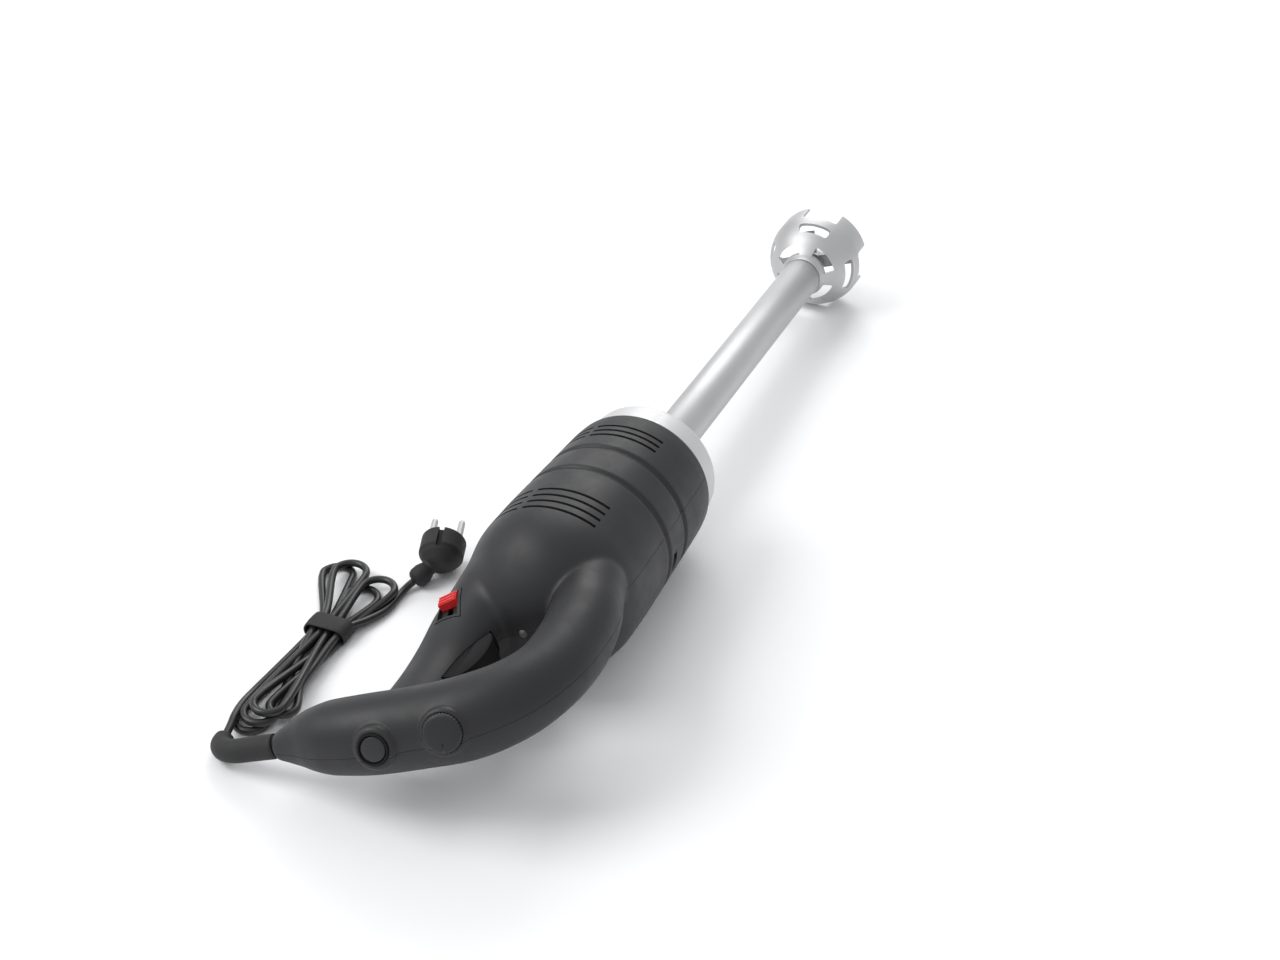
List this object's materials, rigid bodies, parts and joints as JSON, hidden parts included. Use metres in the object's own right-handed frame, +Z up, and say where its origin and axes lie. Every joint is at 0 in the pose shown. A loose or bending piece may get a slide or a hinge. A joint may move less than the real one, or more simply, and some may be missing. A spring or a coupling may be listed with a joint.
{
  "type": "immersion blender",
  "caption": "Heavy-duty immersion blender with closed D-handle, vented motor housing, long steel shaft, slotted bell and tied mains lead.",
  "frame": {"origin": "on the standing surface, below the middle of the blender measured without its lead", "axes": "+X along the shaft towards the bell, +Y towards the side the lead leaves from, +Z up"},
  "size_m": [0.7134, 0.251, 0.1157],
  "materials": {
    "steel": "satin",
    "alu": "satin cast",
    "black": "fine-textured moulded",
    "blackg": "smooth moulded",
    "red": "smooth moulded",
    "rubber": "matt",
    "insul": "moulded",
    "copper": "bare copper, bright",
    "iron": "laminated, bare",
    "brass": "bright",
    "carbon": "pressed carbon",
    "green": "coated",
    "lens": "frosted lens",
    "wire": "smooth cord sheath"
  },
  "bodies": {
    "machine": {"bell": "steel", "bell_bush": "brass", "brush_holder_left": "brass", "brush_holder_right": "brass", "brush_plate": "insul", "carbon_brush_left": "carbon", "carbon_brush_right": "carbon", "cord_clamp": "black", "cord_hank": "wire", "cord_lead": "wire", "drive_bearing": "steel", "fan_baffle": "insul", "field_coil_lower": "copper", "field_coil_upper": "copper", "front_bearing": "steel", "front_nose": "alu", "hank_tie": "rubber", "housing_lower": "black", "housing_screw_1": "steel", "housing_screw_2": "steel", "housing_screw_3": "steel", "housing_screw_4": "steel", "housing_screw_5": "steel", "housing_upper": "black", "indicator_lens": "lens", "lip_seal": "rubber", "lock_switch": "black", "lock_tray": "black", "plug_body": "rubber", "plug_lead": "wire", "plug_pin_left": "steel", "plug_pin_right": "steel", "rear_bearing": "steel", "shaft_mid_bush": "rubber", "shaft_tube": "steel", "speed_board": "green", "speed_potentiometer": "insul", "start_button_ring": "rubber", "start_spring": "steel", "start_switch": "black", "stator_core": "iron", "strain_relief": "rubber", "suppressor": "insul", "trigger_pin": "steel", "trigger_spring": "steel", "trigger_switch": "black"},
    "rotor": {"rotor_shaft": "steel", "armature_core": "iron", "winding_front": "copper", "winding_rear": "copper", "commutator": "copper", "cooling_fan": "black", "coupling_socket": "steel"},
    "blade_shaft": {"drive_shaft": "steel", "blade": "steel", "blade_nut": "steel"},
    "trigger_lever": {"trigger": "black"},
    "lock_slider": {"lock_slide": "red"},
    "start_push": {"start_button": "blackg"},
    "speed_wheel": {"speed_dial": "black"}
  },
  "joints": [
    {"name": "rotor_spin", "type": "hinge", "parent": "machine", "child": "rotor", "pos_m": [-0.10334, -0.04496, 0.05588], "axis": [0.9993, 0, -0.0366], "continuous": true},
    {"name": "blade_spin", "type": "hinge", "parent": "machine", "child": "blade_shaft", "pos_m": [0.16648, -0.04496, 0.04599], "axis": [0.9993, 0, -0.0366], "continuous": true},
    {"name": "trigger_pivot", "type": "hinge", "parent": "machine", "child": "trigger_lever", "pos_m": [-0.2385, -0.02617, 0.05399], "axis": [-0.0344, -0.342, -0.9391], "range_deg": [0, 5], "stiffness_Nm_per_rad": 1.2, "springref_deg": -6.88},
    {"name": "lock_travel", "type": "slide", "parent": "machine", "child": "lock_slider", "axis": [-0.9435, -0.3309, -0.0162], "range_m": [0, 0.01]},
    {"name": "start_travel", "type": "slide", "parent": "machine", "child": "start_push", "axis": [0.9148, 0.104, -0.3903], "range_m": [0, 0.0025], "stiffness_N_per_m": 600, "springref_m": -0.002, "deforming": ["start_spring"]},
    {"name": "speed_turn", "type": "hinge", "parent": "machine", "child": "speed_wheel", "pos_m": [-0.336, -0.05291, 0.07476], "axis": [-0.8696, -0.1963, 0.4531], "range_deg": [0, 270]}
  ],
  "couplings": [
    {"joint": "blade_spin", "follows": "rotor_spin", "ratio": 1}
  ]
}
